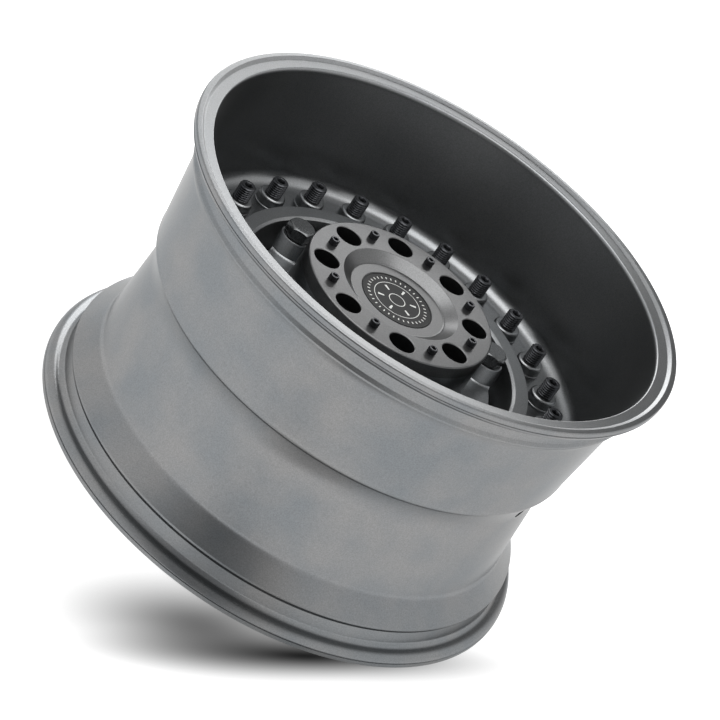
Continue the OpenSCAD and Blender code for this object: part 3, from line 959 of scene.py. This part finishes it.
rim_coat = gunmetal_coat("satin_gunmetal_powder_coat", "#7b7f82", "#8a8a8a", 0.33)
# The plate and the cap get a darker copy of the casting's coat. The darker colour is painted shade, for their
# place deep inside the rim.
shaded_plate_coat = gunmetal_coat("satin_gunmetal_plate_painted_shade", "#5e5f60", "#676767", 0.33)
dress(rim_coat, wheel)
dress(shaded_plate_coat, plate, cap)
print("powder coat on the casting, and a darker one on the plate and the cap")

# %% [markdown]
# ## Oxidised steel
# The fasteners are steel with a thin dark oxide skin, made by dipping them in a hot salt bath. The skin lets
# some of the metal's shine through, so the material is mostly metallic with a low roughness, and fine stains
# vary both. Studs and screws are nearly black, and the bolts are greyer. A plain black paint would lose the
# bright edges of the threads.

# %% Make the oxidised steels
def oxidised_steel(name, low, high):
    """Oxidised steel: a thin dark skin over metal, so it keeps a dull metal shine on edges."""
    material, tree = new_material(name)
    where = add(tree, "ShaderNodeTexCoord").outputs["Object"]
    stain = add(tree, "ShaderNodeTexNoise", {"Vector": where, "Scale": per_metre(6), "Detail": 4.0})
    colour = add(tree, "ShaderNodeMix", {0: stain.outputs["Fac"], 6: linear(low), 7: linear(high)},
                 data_type="RGBA")
    rough = add(tree, "ShaderNodeMapRange", {"Value": stain.outputs["Fac"], "To Min": 0.25, "To Max": 0.29})
    shader = add(tree, "ShaderNodeBsdfPrincipled", {
        "Base Color": colour.outputs[2], "Metallic": 0.85, "Roughness": rough.outputs[0]})
    finish_material(tree, shader)
    return material


dress(oxidised_steel("black_oxidised_steel", "#343537", "#46474a"), studs[0], screws[0])
dress(oxidised_steel("grey_oxidised_steel", "#5c5d5e", "#686a6b"), bolts[0])
print("black oxide on", len(studs) + len(screws), "studs and screws, grey on", len(bolts), "bolts")

# %% [markdown]
# ## Printed black plastic
# The badge is a moulded black plastic disc with a pale print. An image could carry the print, but plain rings
# and ticks follow from the radius and the angle of each point, and so stay crisp at any distance. A Compare
# node draws a band wherever a value lies near its middle.

# %% Make the badge's plastic
# Ticks and marks: how many, half their width as a share of the spacing, middle radius and half length
MARKS = ((36, 0.11, 32.6, 1.5), (6, 0.06, 18.5, 3.5))
# Rings: radius and half width
RINGS = ((26.0, 0.35), (9.0, 0.45))


def band(tree, value, centre, half):
    """One where the value lies within half of the centre, and nought elsewhere."""
    return add(tree, "ShaderNodeMath", {0: value, 1: centre, 2: half}, operation="COMPARE").outputs[0]


def printed_ink(tree, where):
    """One where the print has ink: a scale of ticks, six marks and two rings."""
    flat = add(tree, "ShaderNodeVectorMath", {0: where, 1: (1, 1, 0)}, operation="MULTIPLY").outputs[0]
    radius = add(tree, "ShaderNodeVectorMath", {0: flat}, operation="LENGTH").outputs["Value"]
    parts = add(tree, "ShaderNodeSeparateXYZ", {0: where}).outputs
    angle = add(tree, "ShaderNodeMath", {0: parts["Y"], 1: parts["X"]}, operation="ARCTAN2").outputs[0]
    ink = 0.0
    for count, half, centre, depth in MARKS:
        turn = add(tree, "ShaderNodeMath", {0: angle, 1: count / math.tau}, operation="MULTIPLY").outputs[0]
        step = add(tree, "ShaderNodeMath", {0: turn}, operation="FRACT").outputs[0]
        near = band(tree, radius, centre * MM, depth * MM)
        tick = add(tree, "ShaderNodeMath", {0: band(tree, step, 0.5, half), 1: near}, operation="MULTIPLY")
        ink = add(tree, "ShaderNodeMath", {0: ink, 1: tick.outputs[0]}, operation="MAXIMUM").outputs[0]
    for centre, half in RINGS:
        ring = band(tree, radius, centre * MM, half * MM)
        ink = add(tree, "ShaderNodeMath", {0: ink, 1: ring}, operation="MAXIMUM").outputs[0]
    return ink


def badge_plastic(name):
    """Moulded black plastic with a fine grain and a pale print."""
    material, tree = new_material(name)
    where = add(tree, "ShaderNodeTexCoord").outputs["Object"]
    grain = add(tree, "ShaderNodeTexNoise", {"Vector": where, "Scale": per_metre(0.8), "Detail": 2.0})
    plastic = add(tree, "ShaderNodeMix", {
        0: grain.outputs["Fac"], 6: linear("#090a0b"), 7: linear("#0e0f10")}, data_type="RGBA")
    colour = add(tree, "ShaderNodeMix", {
        0: printed_ink(tree, where), 6: plastic.outputs[2], 7: linear("#c4c4c2")}, data_type="RGBA")
    bump = add(tree, "ShaderNodeBump", {"Height": grain.outputs["Fac"], "Strength": 0.1, "Distance": 0.0001})
    shader = add(tree, "ShaderNodeBsdfPrincipled", {
        "Base Color": colour.outputs[2], "Roughness": 0.4, "Specular IOR Level": 0.15,
        "Normal": bump.outputs[0]})
    finish_material(tree, shader)
    return material


dress(badge_plastic("black_moulded_plastic"), badge)
print("print with", sum(mark[0] for mark in MARKS), "ticks and marks and", len(RINGS), "rings")

# %% [markdown]
# ## The floor
# The picture has a plain white ground with one soft shadow. A lamp could cast it, but no lamp that gives the
# right highlights throws it to this place. So the shadow is painted into the paper: two ellipses with soft
# edges. The camera sees the paper near white. Reflections in the metal see it too, with about half of the
# shadow's depth.

# %% Make the floor
# Each ellipse: centre, half sizes, turn in degrees, and the share of light that is left in its middle
SHADOW = (((40, -306), (226, 89), 48.5, 0.14), ((141, -240), (331, 42), 50.3, 0.02))
SHADOW_IN_METAL = 0.55
PAPER_GLOW = 0.88
FLOOR_HALF = 30000.0
FLOOR_LEVEL = FOOT_Z - LIP_TOP


def painted_shadow(tree, where):
    """The share of light that both ellipses leave at each point of the floor."""
    light = 1.0
    for at, half, turn, core in SHADOW:
        inside = add(tree, "ShaderNodeMapping", {
            "Vector": where, "Location": (at[0] * MM, at[1] * MM, FLOOR_LEVEL * MM),
            "Rotation": (0, 0, math.radians(turn)), "Scale": (half[0] * MM, half[1] * MM, 1),
        }, vector_type="TEXTURE")
        reach = add(tree, "ShaderNodeVectorMath", {0: inside.outputs[0]}, operation="LENGTH")
        spot = add(tree, "ShaderNodeMapRange", {"Value": reach.outputs["Value"], "To Min": core},
                   interpolation_type="SMOOTHSTEP")
        light = add(tree, "ShaderNodeMath", {0: light, 1: spot.outputs[0]}, operation="MULTIPLY").outputs[0]
    return light


def pale_paper():
    """White paper that glows for the camera and for reflections, darker where the shadow is painted."""
    material, tree = new_material("pale_paper")
    where = add(tree, "ShaderNodeTexCoord").outputs["Object"]
    fibre = add(tree, "ShaderNodeTexNoise", {"Vector": where, "Scale": per_metre(40), "Detail": 2.0})
    white = add(tree, "ShaderNodeMix", {
        0: fibre.outputs["Fac"], 6: linear("#c4c4c4"), 7: linear("#c8c8c8")}, data_type="RGBA")
    path = add(tree, "ShaderNodeLightPath").outputs
    fade = add(tree, "ShaderNodeMapRange", {
        "Value": path["Is Glossy Ray"], "To Min": 1.0, "To Max": SHADOW_IN_METAL})
    shadow = add(tree, "ShaderNodeMix", {0: fade.outputs[0], 2: 1.0, 3: painted_shadow(tree, where)})
    colour = add(tree, "ShaderNodeMix", {0: 1.0, 6: white.outputs[2], 7: shadow.outputs[0]},
                 data_type="RGBA", blend_type="MULTIPLY")
    paper = add(tree, "ShaderNodeBsdfDiffuse", {"Color": colour.outputs[2]})
    metal = add(tree, "ShaderNodeMath", {0: path["Is Glossy Ray"], 1: path["Is Transmission Ray"]},
                operation="MAXIMUM")
    seen = add(tree, "ShaderNodeMath", {0: path["Is Camera Ray"], 1: metal.outputs[0]}, operation="MAXIMUM")
    lift = add(tree, "ShaderNodeMath", {0: seen.outputs[0], 1: shadow.outputs[0]}, operation="MULTIPLY")
    lift = add(tree, "ShaderNodeMath", {0: lift.outputs[0], 1: PAPER_GLOW}, operation="MULTIPLY")
    glow = add(tree, "ShaderNodeEmission", {"Color": (1, 1, 1, 1), "Strength": lift.outputs[0]})
    finish_material(tree, add(tree, "ShaderNodeAddShader", {0: paper.outputs[0], 1: glow.outputs[0]}))
    return material


corners = [(x * FLOOR_HALF, y * FLOOR_HALF, FLOOR_LEVEL) for x, y in ((-1, -1), (1, -1), (1, 1), (-1, 1))]
floor = add_mesh("floor", corners, [(0, 1, 2, 3)])
floor.data.materials.append(pale_paper())
print("floor at", FLOOR_LEVEL, "mm")

# %% [markdown]
# ## The world and the lamps
# A metal shows what stands round it, so the studio matters more than the lamps. Its walls are pale to the
# left and right and dim in front, behind and above, which gives the light and dark stripes of the rim. The
# world is white in view. One small lamp hangs close above the disc. One low lamp stands behind the wheel on
# the left and lights its lip. An image of a studio could do the same, but this needs no file.

# %% Make the world and the lamps
AIM = Vector((0, 0, 0.1))


def make_world(dark, bright):
    """A studio with pale walls to the left and right and dim ones elsewhere, white in view."""
    world = bpy.data.worlds.new("studio")
    world.use_nodes = True
    tree = world.node_tree
    tree.nodes.clear()
    way = add(tree, "ShaderNodeTexCoord").outputs["Generated"]
    parts = add(tree, "ShaderNodeSeparateXYZ", {0: way})
    side = add(tree, "ShaderNodeMath", {0: parts.outputs["X"]}, operation="ABSOLUTE")
    level = add(tree, "ShaderNodeMapRange", {
        "Value": side.outputs[0], "From Min": 0.15, "From Max": 0.6, "To Min": dark, "To Max": bright,
    }, interpolation_type="SMOOTHSTEP")
    path = add(tree, "ShaderNodeLightPath").outputs
    shown = add(tree, "ShaderNodeMath", {0: level.outputs[0], 1: path["Is Camera Ray"]}, operation="MAXIMUM")
    sky = add(tree, "ShaderNodeBackground", {"Color": (1, 1, 1, 1), "Strength": shown.outputs[0]})
    add(tree, "ShaderNodeOutputWorld", {"Surface": sky.outputs[0]})
    bpy.context.scene.world = world


def make_lamp(name, azimuth, height, distance, size, watts):
    """Soft square lamp aimed at the wheel. Azimuth and height are in degrees, distance and size in metres."""
    data = bpy.data.lights.new(name, "AREA")
    data.size = size
    data.energy = watts
    lamp = bpy.data.objects.new(name, data)
    bpy.context.scene.collection.objects.link(lamp)
    turn, rise = math.radians(azimuth), math.radians(height)
    flat = math.cos(rise) * distance
    place = Vector((flat * math.cos(turn), flat * math.sin(turn), math.sin(rise) * distance))
    aim = (AIM - place).to_track_quat("-Z", "Y").to_matrix().to_4x4()
    lamp.matrix_world = Matrix.Translation(place) @ aim
    lamp.visible_camera = False


make_world(0.27, 1.0)
make_lamp("overhead", 180, 84, 0.5, 0.4, 1.5)
make_lamp("behind_left", 107, 16, 1.15, 0.85, 9)
bpy.context.scene.view_settings.view_transform = "Standard"
print("studio world and", len(bpy.data.lights), "lamps")
